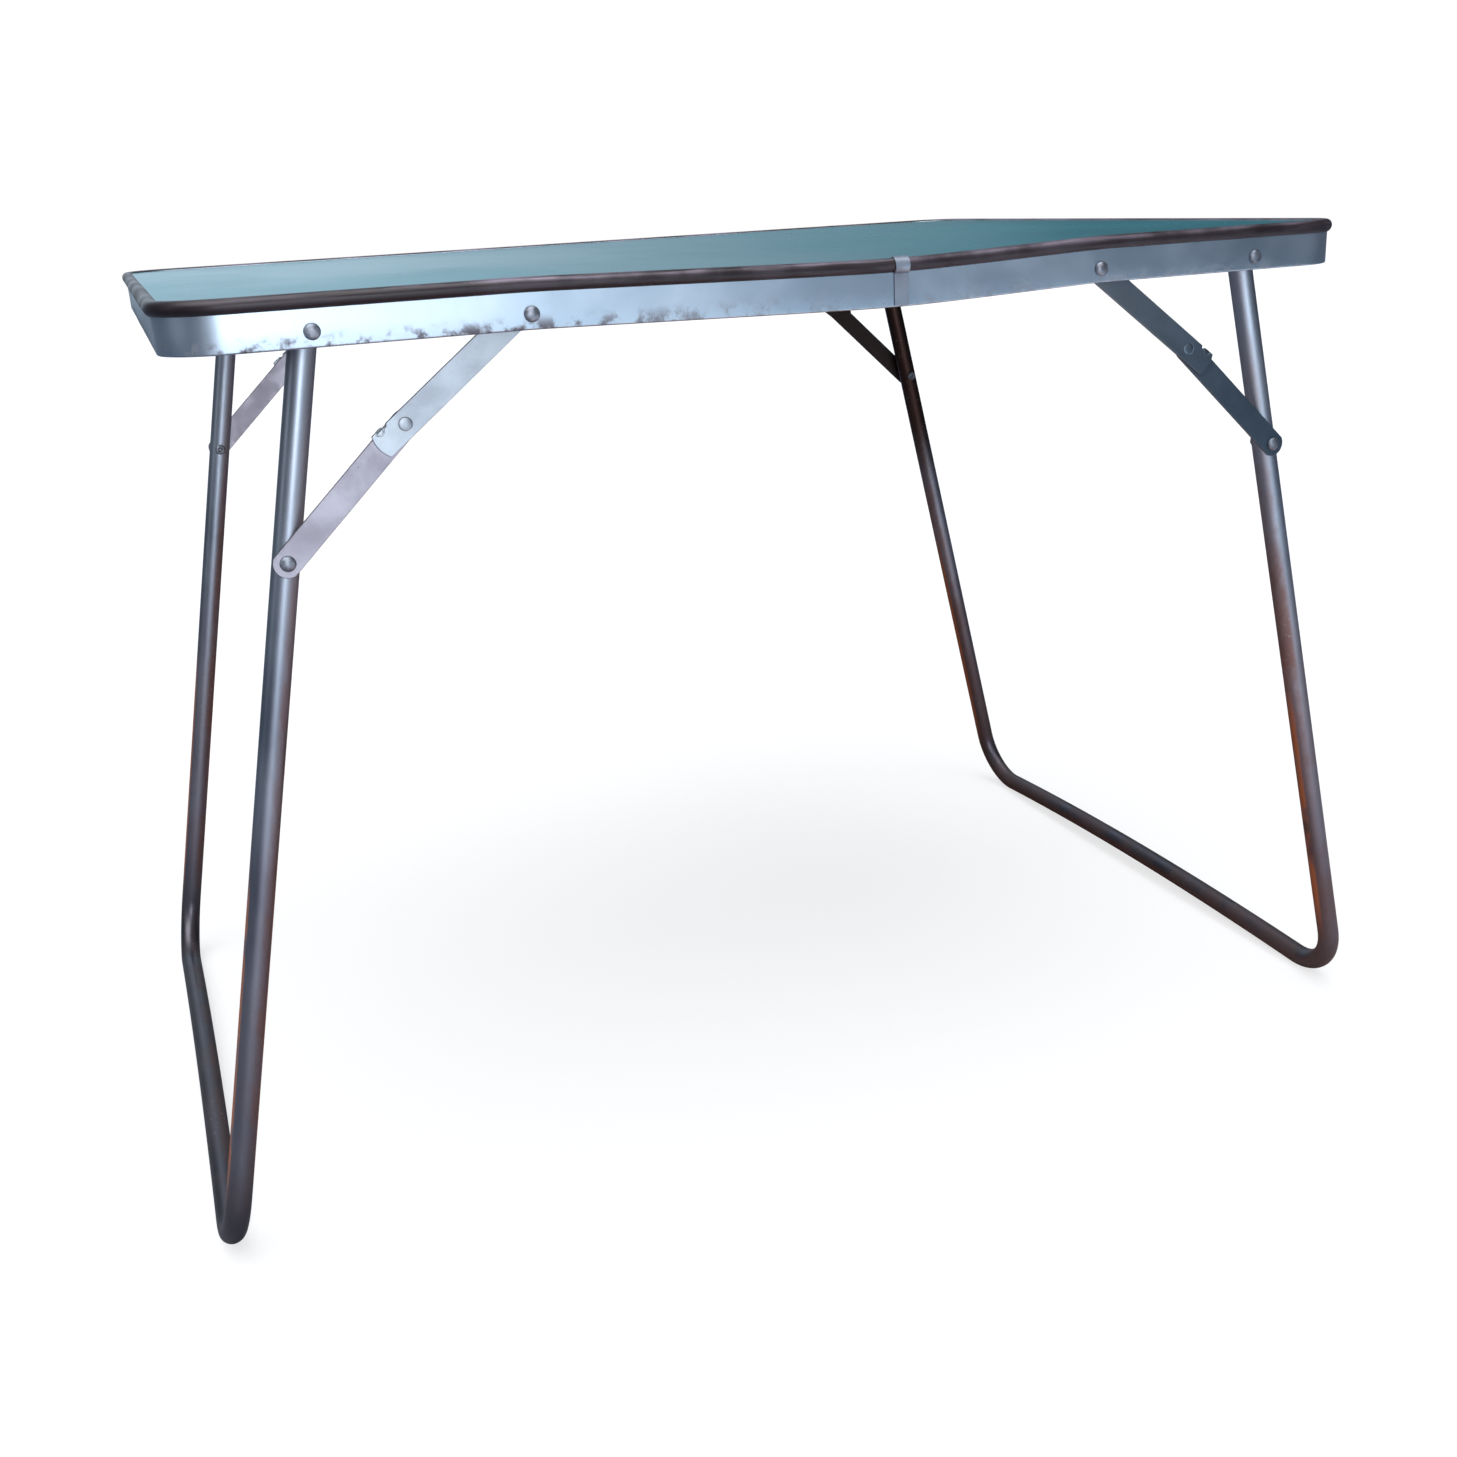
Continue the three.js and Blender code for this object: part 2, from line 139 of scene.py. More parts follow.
rim_low, rim_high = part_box("rim")
panel_low, panel_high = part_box("tabletop_panel")
clip_low, clip_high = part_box("rim_joint_clip")
overhang = BEAD_RADIUS - BEAD_INSET
skirt_x = rim_high.x - overhang
skirt_y = rim_high.y - overhang
rim_height = rim_high.z - rim_low.z
seam_x = (clip_low.x + clip_high.x) / 2
stay_x = joint_at["upper_link_right_front"].x


# ---- Mesh helpers ----

def arc(centre, radius, start, end, steps):
    """Points of an arc in a plane, both ends included."""
    points = []
    for i in range(steps + 1):
        angle = start + (end - start) * i / steps
        points.append((centre[0] + radius * math.cos(angle), centre[1] + radius * math.sin(angle)))
    return points


def corner_turns(half_x, half_y, radius):
    """The centre of each rounded corner of a rectangle, from the front right one, with the unit
    circle's points that turn it."""
    turns = []
    for i, (side_x, side_y) in enumerate(((1, -1), (1, 1), (-1, 1), (-1, -1))):
        centre = (side_x * (half_x - radius), side_y * (half_y - radius))
        start = math.radians(90 * i - 90)
        turns.append((centre, arc((0, 0), 1, start, start + math.pi / 2, CORNER_STEPS)))
    return turns


def finished(name, mesh, materials, sharp_degrees=35):
    """An object with its faces outwards, smooth except at its real edges."""
    bm = bmesh.new()
    bm.from_mesh(mesh)
    bmesh.ops.recalc_face_normals(bm, faces=bm.faces)
    bm.to_mesh(mesh)
    bm.free()
    mesh.shade_smooth()
    mesh.set_sharp_from_angle(angle=math.radians(sharp_degrees))
    for material in materials:
        mesh.materials.append(material)
    piece = bpy.data.objects.new(name, mesh)
    bpy.context.scene.collection.objects.link(piece)
    return piece


def skinned(name, rings, closed=False):
    """A mesh over rings of points, each ring joined to the next, with end caps unless closed."""
    mesh = bpy.data.meshes.new(name)
    count = len(rings[0])
    verts = [point for ring in rings for point in ring]
    faces = []
    last = len(rings) if closed else len(rings) - 1
    for i in range(last):
        here = i * count
        there = (i + 1) % len(rings) * count
        for j in range(count):
            k = (j + 1) % count
            faces.append((here + j, here + k, there + k, there + j))
    if not closed:
        faces.append(tuple(range(count)))
        faces.append(tuple(range(len(verts) - count, len(verts))))
    mesh.from_pydata(verts, [], faces)
    return mesh


def set_run(mesh, values):
    """Stores each point's place along, across and around its strip, for grain that follows the metal."""
    run = mesh.attributes.new("run", "FLOAT_VECTOR", "POINT")
    for item, value in zip(run.data, values):
        item.vector = value


def stands_for(piece, node):
    """Puts a finished piece in place of its CAD node."""
    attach(piece, body_of[node])
    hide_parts(node)


# ---- Material helpers ----

class Graph:
    """A material's node tree, with short calls for the nodes used here."""

    def __init__(self, name):
        self.material = bpy.data.materials.new(name)
        self.material.use_nodes = True
        self.tree = self.material.node_tree
        self.surface = self.tree.nodes["Principled BSDF"]

    def feed(self, socket, value):
        if isinstance(value, bpy.types.NodeSocket):
            self.tree.links.new(value, socket)
        else:
            socket.default_value = value

    def add(self, kind, inputs, **settings):
        node = self.tree.nodes.new(kind)
        for key, value in settings.items():
            setattr(node, key, value)
        for key, value in inputs.items():
            self.feed(node.inputs[key], value)
        return node

    def place(self):
        return self.add("ShaderNodeTexCoord", {}).outputs["Object"]

    def run(self):
        return self.add("ShaderNodeAttribute", {}, attribute_name="run").outputs["Vector"]

    def stretched(self, vector, scale):
        return self.add("ShaderNodeMapping", {"Vector": vector, "Scale": scale}).outputs["Vector"]

    def noise(self, vector, scale, detail=4.0, roughness=0.55):
        inputs = {"Vector": vector, "Scale": scale, "Detail": detail, "Roughness": roughness}
        return self.add("ShaderNodeTexNoise", inputs).outputs["Fac"]

    def specks(self, vector, scale):
        return self.add("ShaderNodeTexVoronoi", {"Vector": vector, "Scale": scale}).outputs["Distance"]

    def between(self, value, low, high, to_low=0.0, to_high=1.0):
        inputs = {"Value": value, "From Min": low, "From Max": high, "To Min": to_low, "To Max": to_high}
        return self.add("ShaderNodeMapRange", inputs, interpolation_type="SMOOTHSTEP").outputs["Result"]

    def math(self, operation, a, b):
        return self.add("ShaderNodeMath", {0: a, 1: b}, operation=operation).outputs["Value"]

    def mix(self, factor, a, b):
        node = self.add("ShaderNodeMix", {0: factor, 6: a, 7: b}, data_type="RGBA")
        return node.outputs[2]

    def axis(self, vector, name):
        return self.add("ShaderNodeSeparateXYZ", {"Vector": vector}).outputs[name]

    def towards(self, vector, direction):
        node = self.add("ShaderNodeVectorMath", {0: vector, 1: direction}, operation="DOT_PRODUCT")
        return node.outputs["Value"]

    def facing(self, name):
        normal = self.add("ShaderNodeNewGeometry", {}).outputs["Normal"]
        return self.axis(normal, name)

    def bumps(self, height, distance, strength=1.0, below=None):
        inputs = {"Height": height, "Distance": distance, "Strength": strength}
        if below is not None:
            inputs["Normal"] = below
        return self.add("ShaderNodeBump", inputs).outputs["Normal"]

    def finish(self, color, roughness, metallic, normal=None, **others):
        self.feed(self.surface.inputs["Base Color"], color)
        self.feed(self.surface.inputs["Roughness"], roughness)
        self.feed(self.surface.inputs["Metallic"], metallic)
        if normal is not None:
            self.feed(self.surface.inputs["Normal"], normal)
        for key, value in others.items():
            self.feed(self.surface.inputs[key.replace("_", " ").title()], value)
        return self.material


def rgb(red, green, blue):
    return (red, green, blue, 1.0)


# ---- Materials ----

def rim_aluminium():
    """Rolled aluminium with fine lengthwise grain, clouding, nicks and dirt along its lower edge."""
    g = Graph("rim_aluminium")
    place = g.place()
    run = g.run()
    grain = g.noise(g.stretched(run, (6, 900, 900)), 1.0, 3)
    clouds = g.noise(place, 9, 5)
    dirt_noise = g.noise(place, 70, 6, 0.65)
    low = g.between(g.axis(place, "Z"), rim_low.z + 0.010, rim_low.z + 0.0005)
    dirt = g.math("MULTIPLY", low, g.between(dirt_noise, 0.47, 0.62))
    left = g.between(g.axis(place, "X"), 0.05, -0.30, 0.35, 1.0)
    dirt = g.math("MULTIPLY", dirt, left)
    nicks = g.between(g.specks(g.stretched(place, (1, 1, 1.6)), 60), 0.06, 0.02)
    nicks = g.math("MULTIPLY", nicks, g.between(g.noise(place, 14), 0.56, 0.66))
    metal = g.mix(g.between(clouds, 0.35, 0.7), rgb(0.43, 0.52, 0.61), rgb(0.58, 0.66, 0.75))
    color = g.mix(g.math("MAXIMUM", dirt, nicks), metal, rgb(0.085, 0.060, 0.075))
    roughness = g.math("ADD", g.between(clouds, 0.3, 0.7, 0.30, 0.42), g.math("MULTIPLY", dirt, 0.3))
    normal = g.bumps(grain, 0.00004, 0.5)
    normal = g.bumps(g.math("SUBTRACT", clouds, g.math("MULTIPLY", nicks, 0.4)), 0.0004, 0.5, normal)
    return g.finish(color, roughness, g.between(dirt, 0.0, 1.0, 1.0, 0.3), normal)


def bead_brown():
    """The dark brown bead, its lacquer rubbed thin along the top in streaks, the paler top also a painted
    highlight.
    """
    g = Graph("bead_brown")
    run = g.run()
    streaks = g.noise(g.stretched(run, (14, 260, 260)), 1.0, 4)
    scuffs = g.noise(g.place(), 24, 5)
    # Painted highlight, partly rubbed lacquer: the upward faces are made paler and more metallic, less so
    # at the left end.
    top = g.between(g.facing("Z"), 0.15, 0.85, 0.15, 1.0)
    worn_and_highlit = g.math("MULTIPLY", g.between(streaks, 0.36, 0.62), g.between(scuffs, 0.30, 0.62))
    worn_and_highlit = g.math("MULTIPLY", worn_and_highlit, top)
    worn_and_highlit = g.math("MULTIPLY", worn_and_highlit, g.between(g.axis(g.place(), "X"), -0.39, -0.20, 0.2, 1.0))
    color = g.mix(worn_and_highlit, rgb(0.018, 0.011, 0.014), rgb(0.270, 0.225, 0.275))
    roughness = g.between(scuffs, 0.3, 0.7, 0.30, 0.46)
    normal = g.bumps(streaks, 0.00004, 0.4)
    return g.finish(color, roughness, g.between(worn_and_highlit, 0.0, 1.0, 0.25, 0.85), normal)


def clip_aluminium():
    """The joint clip: duller aluminium than the rim, clouded and scratched."""
    g = Graph("clip_aluminium")
    place = g.place()
    clouds = g.noise(place, 60, 4)
    scratches = g.noise(g.stretched(place, (500, 40, 40)), 1.0, 3)
    color = g.mix(g.between(clouds, 0.4, 0.68), rgb(0.345, 0.39, 0.46), rgb(0.265, 0.295, 0.355))
    return g.finish(color, g.between(clouds, 0.3, 0.7, 0.40, 0.54), 1.0, g.bumps(scratches, 0.00005, 0.6))


def panel_enamel():
    """Blue-green gloss on hardboard, with wiped smudges, faint stains and fine scratches."""
    g = Graph("panel_enamel")
    place = g.place()
    clouds = g.noise(g.stretched(place, (1.0, 0.4, 1.0)), 2.4, 3)
    smudges = g.noise(g.stretched(place, (1.0, 0.5, 1.0)), 4.5, 4, 0.5)
    scratches = g.noise(g.stretched(place, (8.0, 420.0, 1.0)), 1.0, 3)
    pores = g.noise(place, 900, 2)
    stains = g.between(g.noise(g.stretched(place, (1.0, 0.5, 1.0)), 7, 4, 0.5), 0.62, 0.74)
    color = g.mix(g.between(clouds, 0.35, 0.68), rgb(0.017, 0.146, 0.186), rgb(0.030, 0.186, 0.230))
    color = g.mix(g.math("MULTIPLY", stains, 0.3), color, rgb(0.017, 0.10, 0.13))
    roughness = g.between(smudges, 0.35, 0.68, 0.20, 0.30)
    normal = g.bumps(scratches, 0.00003, 0.35)
    normal = g.bumps(pores, 0.00002, 0.4, normal)
    return g.finish(color, roughness, 0.0, normal)


def hardboard():
    """The brown underside of the panel, with its fine pressed screen texture."""
    g = Graph("hardboard")
    place = g.place()
    weave = g.math("MAXIMUM", g.noise(g.stretched(place, (900, 250, 1)), 1.0, 1),
                   g.noise(g.stretched(place, (250, 900, 1)), 1.0, 1))
    clouds = g.noise(place, 8, 6)
    fibres = g.noise(place, 160, 5)
    color = g.mix(g.between(clouds, 0.3, 0.7), rgb(0.16, 0.085, 0.042), rgb(0.24, 0.14, 0.075))
    color = g.mix(g.between(fibres, 0.5, 0.75, 0.0, 0.6), color, rgb(0.10, 0.05, 0.025))
    return g.finish(color, g.between(fibres, 0.3, 0.7, 0.72, 0.9), 0.0, g.bumps(weave, 0.0003, 0.5))


def shade_towards_back_right(g, low, high):
    """Grows towards the back right corner: the mask for painted shade there."""
    return g.between(g.towards(g.place(), (0.8, 0.5, 0)), low, high)


def shade_under_back_right(g, low, high):
    """The same painted shade, only on the faces turned towards the front, under the table."""
    return g.math("MULTIPLY", shade_towards_back_right(g, low, high), g.between(g.facing("Y"), 0.35, -0.10))


def tube_steel():
    """Plated tube, dulled dark, with drawn grain, scuffs, and rust on its inner side and low down; the
    inner brown and the orange side lines are partly painted warm reflections, and it has a painted
    highlight at the top and painted shade low down and at the back right.
    """
    g = Graph("tube_steel")
    place = g.place()
    height = g.axis(place, "Z")
    grain = g.noise(g.stretched(g.run(), (5, 700, 700)), 1.0, 3)
    clouds = g.noise(g.stretched(place, (1, 1, 0.4)), 26, 5)
    speckle = g.noise(place, 420, 3)
    patches = g.noise(g.stretched(place, (1, 1, 0.35)), 22, 6, 0.65)

    # Brown: rust low down, mostly on the right leg, and on the faces turned under the table rust that is
    # partly a painted warm reflection
    inward = g.math("MULTIPLY", g.facing("X"), g.axis(place, "X"))
    inner_rust_and_reflection = g.between(inward, 0.0, -0.20)
    inner_rust_and_reflection = g.math("MULTIPLY", inner_rust_and_reflection, g.between(height, 0.52, 0.34, 0.35, 1.0))
    low = g.between(height, 0.46, 0.10)
    right = g.between(g.axis(place, "X"), -0.30, 0.10, 0.25, 0.55)
    rust_and_warm_reflection = g.math("MAXIMUM", g.math("MULTIPLY", inner_rust_and_reflection, 0.75), g.math("MULTIPLY", low, right))
    rust = g.math("MULTIPLY", rust_and_warm_reflection, g.between(patches, 0.34, 0.58))

    # Orange line up each side of the uprights, clear of the bends: partly rust, partly a painted warm
    # reflection along the tube's edges
    sideways = g.between(g.math("ABSOLUTE", g.facing("X"), 0.0), 0.80, 0.95)
    flank_rust_and_reflection = g.math("MULTIPLY", sideways, g.between(height, 0.31, 0.24))
    flank_rust_and_reflection = g.math("MULTIPLY", flank_rust_and_reflection, g.between(height, 0.04, 0.09))
    flank_rust_and_reflection = g.math("MULTIPLY", flank_rust_and_reflection, g.between(patches, 0.30, 0.46))

    # Plating with painted light: a painted highlight makes it palest at the top, painted shade makes it
    # darker and purplish low down
    scuffs = g.math("MULTIPLY", g.between(speckle, 0.6, 0.72), g.between(clouds, 0.52, 0.68))
    plating_and_painted_light = g.mix(g.between(clouds, 0.3, 0.7), rgb(0.24, 0.275, 0.335), rgb(0.36, 0.40, 0.47))
    top_highlight = g.between(height, 0.36, 0.52, 0.0, 0.75)
    plating_and_painted_light = g.mix(top_highlight, plating_and_painted_light, rgb(0.46, 0.50, 0.57))
    plating_and_painted_light = g.mix(g.between(height, 0.42, 0.16, 0.0, 0.55), plating_and_painted_light, rgb(0.235, 0.205, 0.245))

    # Darker along the floor bars and up the right leg's foot; painted shade, dark brown, high in the back
    # right corner under the table
    near_floor = g.between(height, 0.12, 0.02, 0.0, 0.72)
    right_foot = g.math("MULTIPLY", g.between(height, 0.32, 0.05, 0.0, 0.6),
                        g.between(g.axis(place, "X"), 0.0, 0.3))
    near_floor = g.math("MAXIMUM", near_floor, right_foot)
    back_top_shade = g.math("MULTIPLY", shade_under_back_right(g, 0.18, 0.34), g.between(height, 0.30, 0.42))

    color = g.mix(rust, plating_and_painted_light, rgb(0.180, 0.062, 0.030))
    color = g.mix(near_floor, color, rgb(0.055, 0.050, 0.058))
    color = g.mix(back_top_shade, color, rgb(0.050, 0.028, 0.024))
    color = g.mix(flank_rust_and_reflection, color, rgb(0.34, 0.105, 0.040))
    color = g.mix(g.math("MULTIPLY", scuffs, 0.6), color, rgb(0.34, 0.36, 0.42))
    roughness = g.math("ADD", g.between(clouds, 0.3, 0.7, 0.36, 0.46), g.math("MULTIPLY", rust, 0.22))
    normal = g.bumps(grain, 0.00003, 0.5)
    normal = g.bumps(patches, 0.0002, 0.35, normal)
    metal = g.math("MULTIPLY", g.between(rust, 0.0, 1.0, 1.0, 0.45), g.between(flank_rust_and_reflection, 0.0, 1.0, 1.0, 0.1))
    return g.finish(color, roughness, metal, normal)


def strip_steel(name, pale, dull):
    """Galvanised strip with a mottled pale bloom, darker flecks and a few rust specks, and painted shade
    towards the back right corner.
    """
    g = Graph(name)
    place = g.place()
    bloom = g.noise(place, 45, 6, 0.6)
    flecks = g.between(g.specks(place, 170), 0.12, 0.03)
    flecks = g.math("MULTIPLY", flecks, g.between(g.noise(place, 30), 0.55, 0.66))
    grain = g.noise(g.stretched(g.run(), (60, 900, 900)), 1.0, 3)
    specks = g.between(g.noise(place, 110, 5, 0.7), 0.66, 0.74)
    color = g.mix(g.between(bloom, 0.34, 0.68), dull, pale)
    # Painted shade: dark blue-grey towards the back right corner, dark brown on the faces turned under the
    # table there
    color = g.mix(shade_towards_back_right(g, -0.10, 0.12), color, rgb(0.105, 0.145, 0.185))
    color = g.mix(shade_under_back_right(g, 0.12, 0.34), color, rgb(0.045, 0.032, 0.028))
    color = g.mix(g.math("MULTIPLY", flecks, 0.7), color, rgb(0.12, 0.12, 0.15))
    color = g.mix(g.math("MULTIPLY", specks, 0.5), color, rgb(0.16, 0.08, 0.05))
    roughness = g.between(bloom, 0.3, 0.7, 0.42, 0.30)
    normal = g.bumps(grain, 0.00003, 0.4)
    normal = g.bumps(bloom, 0.0001, 0.5, normal)
    return g.finish(color, roughness, 0.92, normal)


def rivet_steel():
    """Tarnished rivets, mottled and finely pitted, with a little rust, and painted shade towards the back
    right corner.
    """
    g = Graph("rivet_steel")
    place = g.place()
    clouds = g.noise(place, 320, 5)
    pits = g.noise(place, 1100, 3)
    color = g.mix(g.between(clouds, 0.35, 0.68), rgb(0.20, 0.215, 0.25), rgb(0.36, 0.39, 0.45))
    rust = g.between(g.noise(place, 150, 4), 0.58, 0.72, 0.0, 0.4)
    color = g.mix(rust, color, rgb(0.10, 0.05, 0.035))
    # Painted shade: darker blue-grey towards the back right corner
    color = g.mix(g.math("MULTIPLY", shade_towards_back_right(g, -0.05, 0.20), 0.6), color, rgb(0.085, 0.105, 0.130))
    roughness = g.between(clouds, 0.3, 0.7, 0.36, 0.50)
    return g.finish(color, roughness, 0.85, g.bumps(pits, 0.0001, 0.4))


def spacer_steel():
    """Plain cut tube, dull and a little rusty."""
    g = Graph("spacer_steel")
    place = g.place()
    clouds = g.noise(place, 200, 5)
    turned_marks = g.noise(g.stretched(place, (60, 1500, 60)), 1.0, 2)
    color = g.mix(g.between(clouds, 0.4, 0.65), rgb(0.16, 0.17, 0.19), rgb(0.12, 0.065, 0.045))
    normal = g.bumps(turned_marks, 0.00008, 0.6)
    return g.finish(color, g.between(clouds, 0.3, 0.7, 0.42, 0.6), 0.85, normal)


# ---- The top ----

def joint_sag(x, y):
    """The rim has sunk a little at its front joint: none at the stays' rivets or the back."""
    from_left = (x + stay_x) / (seam_x + stay_x)
    from_right = (stay_x - x) / (stay_x - seam_x)
    reach = (from_left + from_right - math.hypot(from_left - from_right, SAG_ROUNDING)) / 2
    depth = -y / skirt_y
    return JOINT_SAG * min(max(reach, 0), 1) * min(max(depth, 0), 1)


def rim_outline():
    """The rim's section as (outwards, upwards) from the top of the skirt's outer face, and the
    indexes where the bead starts and ends."""
    crease = -math.acos(BEAD_INSET / BEAD_RADIUS)
    bead = arc((-BEAD_INSET, -BEAD_RADIUS), BEAD_RADIUS, crease, math.radians(135), 22)
    lip_x = bead[-1][0]
    ledge_top = panel_low.z - rim_high.z - GAP
    ledge_bottom = ledge_top - SHEET
    fold = arc((-SHEET, SHEET - rim_height), SHEET, -math.pi / 2, 0, 5)
    inner_hem = SHEET - rim_height
    outline = [
        *fold,
        (0.0, -rim_height * 0.6),
        *bead,
        (lip_x, ledge_top),
        (-LEDGE_REACH, ledge_top),
        (-LEDGE_REACH, ledge_bottom),
        (-SHEET, ledge_bottom),
        (-SHEET, inner_hem),
        (-SHEET - HEM, inner_hem),
        (-SHEET - HEM, -rim_height),
    ]
    bead_start = len(fold) + 1
    return outline, bead_start, bead_start + len(bead) - 1


def rim_stations():
    """Places once round the skirt from the seam: position, outward normal and length walked."""
    points = [(Vector((seam_x + SEAM_GAP / 2, -skirt_y)), Vector((0, -1)))]
    for centre, turn in corner_turns(skirt_x, skirt_y, CORNER_RADIUS):
        for outward in turn:
            normal = Vector(outward)
            points.append((Vector(centre) + normal * CORNER_RADIUS, normal))
    points.append((Vector((seam_x - SEAM_GAP / 2, -skirt_y)), Vector((0, -1))))

    stations = [(*points[0], 0.0)]
    walked = 0.0
    for (a, normal_a), (b, normal_b) in zip(points, points[1:]):
        distance = (b - a).length
        steps = max(1, round(distance / STATION_SPACING))
        for i in range(1, steps + 1):
            share = i / steps
            stations.append((a.lerp(b, share), normal_a.lerp(normal_b, share), walked + distance * share))
        walked += distance
    return stations


def make_rim(metal, bead):
    outline, bead_start, bead_end = rim_outline()
    rings = []
    run = []
    for place, normal, walked in rim_stations():
        ring = []
        for out, up in outline:
            wave = RIM_WAVE * (noise.noise(Vector((walked * 9, up * 30, 0))) - 1) * (up < -STRAIGHT_TOP)
            spot = place + normal * (out + wave)
            ring.append(Vector((spot.x, spot.y, rim_high.z + up - joint_sag(spot.x, spot.y))))
            run.append((walked, up, out))
        rings.append(ring)
    mesh = skinned("fine_rim", rings)
    set_run(mesh, run)
    piece = finished("fine_rim", mesh, [metal, bead], 50)
    count = len(outline)
    for face in piece.data.polygons[:(len(rings) - 1) * count]:
        if bead_start <= face.index % count < bead_end:
            face.material_index = 1
    stands_for(piece, "rim")


def make_joint_clip(metal):
    """A thin strip bent over the bead and down the skirt, across the seam."""
    start = -math.pi * 0.36
    end = math.pi * 0.6
    centre = (-BEAD_INSET, -BEAD_RADIUS)
    inner = arc(centre, BEAD_RADIUS + GAP, start, end, 18)
    outer = arc(centre, BEAD_RADIUS + GAP + CLIP_SHEET, start, end, 18)
    bottom = CLIP_EDGE_SETBACK - rim_height
    outline = [
        (GAP, bottom),
        (GAP, inner[0][1] - CLIP_EDGE_SETBACK),
        *inner,
        *reversed(outer),
        (GAP + CLIP_SHEET, outer[0][1] - CLIP_EDGE_SETBACK),
        (GAP + CLIP_SHEET, bottom),
    ]
    rings = []
    for i in range(5):
        x = clip_low.x + (clip_high.x - clip_low.x) * i / 4
        sag = joint_sag(x, -skirt_y)
        rings.append([Vector((x, -skirt_y - out, rim_high.z + up - sag)) for out, up in outline])
    piece = finished("fine_rim_joint_clip", skinned("fine_rim_joint_clip", rings), [metal])
    soften(piece, CLIP_ROUNDING)
    stands_for(piece, "rim_joint_clip")


def soften(piece, width):
    """Rounds a piece's sharp edges."""
    bevel = piece.modifiers.new("edges", "BEVEL")
    bevel.width = width
    bevel.segments = 2
    bevel.limit_method = "ANGLE"
    bevel.angle_limit = math.radians(40)
    bevel.harden_normals = False
    applied(piece)


def applied(piece):
    """Replaces a piece's mesh by the one its modifiers make."""
    bpy.context.view_layer.update()
    seen = piece.evaluated_get(bpy.context.evaluated_depsgraph_get())
    mesh = bpy.data.meshes.new_from_object(seen)
    piece.modifiers.clear()
    piece.data = mesh


def make_panel(enamel, board):
    """The board in its rim, with a slightly rounded edge, following the rim's sag."""
    radius = CORNER_RADIUS - (skirt_x - panel_high.x)
    outline = []
    for (x, y), turn in corner_turns(panel_high.x, panel_high.y, radius):
        outline += [(x + radius * out_x, y + radius * out_y) for out_x, out_y in turn]
    bm = bmesh.new()
    bottom = bm.faces.new([bm.verts.new((x, y, panel_low.z)) for x, y in outline])
    top = bmesh.ops.extrude_face_region(bm, geom=[bottom])["geom"]
    for part in top:
        if isinstance(part, bmesh.types.BMVert):
            part.co.z = panel_high.z
    bmesh.ops.recalc_face_normals(bm, faces=bm.faces)
    rims = [e for e in bm.edges if e.is_manifold and e.calc_face_angle() > math.radians(60)]
    bmesh.ops.bevel(bm, geom=rims, offset=PANEL_ROUNDING, segments=2, affect="EDGES", profile=0.5)
    for normal, half in (((1, 0, 0), panel_high.x), ((0, 1, 0), panel_high.y)):
        cuts = int(2 * half / PANEL_GRID)
        for i in range(1, cuts):
            spot = Vector(normal) * (-half + 2 * half * i / cuts)
            everything = bm.verts[:] + bm.edges[:] + bm.faces[:]
            bmesh.ops.bisect_plane(bm, geom=everything, plane_co=spot, plane_no=normal)
    for vert in bm.verts:
        vert.co.z -= joint_sag(vert.co.x, vert.co.y)
    mesh = bpy.data.meshes.new("fine_tabletop_panel")
    bm.to_mesh(mesh)
    bm.free()
    piece = finished("fine_tabletop_panel", mesh, [enamel, board], 60)
    for face in piece.data.polygons:
        if face.normal.z < 0.5:
            face.material_index = 1
    stands_for(piece, "tabletop_panel")


# ---- Legs ----

def leg_line(half_width, length):
    """The tube's centre line in the plane of its leg, as (across, down from the pivot)."""
    bend_y = half_width - LEG_BEND_RADIUS
    bend_down = length - LEG_BEND_RADIUS
    line = []
    upright_steps = 24
    for i in range(upright_steps):
        line.append((-half_width, -LEG_STUB + (bend_down + LEG_STUB) * i / upright_steps))
    line += arc((-bend_y, bend_down), LEG_BEND_RADIUS, math.pi, math.pi / 2, 16)
    bar_steps = 28
    for i in range(1, bar_steps):
        share = -1 + 2 * i / bar_steps
        line.append((bend_y * share, length - FLOOR_BAR_ARCH * (1 - share * share)))
    line += [(-across, down) for across, down in reversed(line[:upright_steps + 17])]
    return line


def make_leg(end_name, end, steel):
    node = f"leg_{end_name}"
    _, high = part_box(node)
    pivot = joint_at[f"leg_frame_{end_name}"]
    half_width = high.y - TUBE_RADIUS
    length = (pivot.z - TUBE_RADIUS) / math.cos(LEG_SPLAY)
    down = Vector((end * math.sin(LEG_SPLAY), 0, -math.cos(LEG_SPLAY)))
    aside = Vector((math.cos(LEG_SPLAY), 0, end * math.sin(LEG_SPLAY)))
    line = []
    for across, along in leg_line(half_width, length):
        line.append(pivot + Vector((0, across, 0)) + down * along)

    sides = 36
    outer = []
    inner = []
    run = []
    walked = 0.0
    for i, point in enumerate(line):
        before = line[max(i - 1, 0)]
        after = line[min(i + 1, len(line) - 1)]
        tangent = (after - before).normalized()
        across = tangent.cross(aside).normalized()
        walked += (point - line[max(i - 1, 0)]).length
        ring = []
        bore = []
        for j in range(sides):
            angle = 2 * math.pi * j / sides
            outward = aside * math.cos(angle) + across * math.sin(angle)
            ring.append(point + outward * TUBE_RADIUS)
            bore.append(point + outward * (TUBE_RADIUS - TUBE_WALL))
            run.append((walked, angle * TUBE_RADIUS, 0))
        outer.append(ring)
        inner.append(bore)
    rings = outer + inner[::-1]
    mesh = skinned(f"fine_{node}", rings, closed=True)
    set_run(mesh, run + run[::-1])
    piece = finished(f"fine_{node}", mesh, [steel], 50)
    stands_for(piece, node)


# ---- Stay links ----

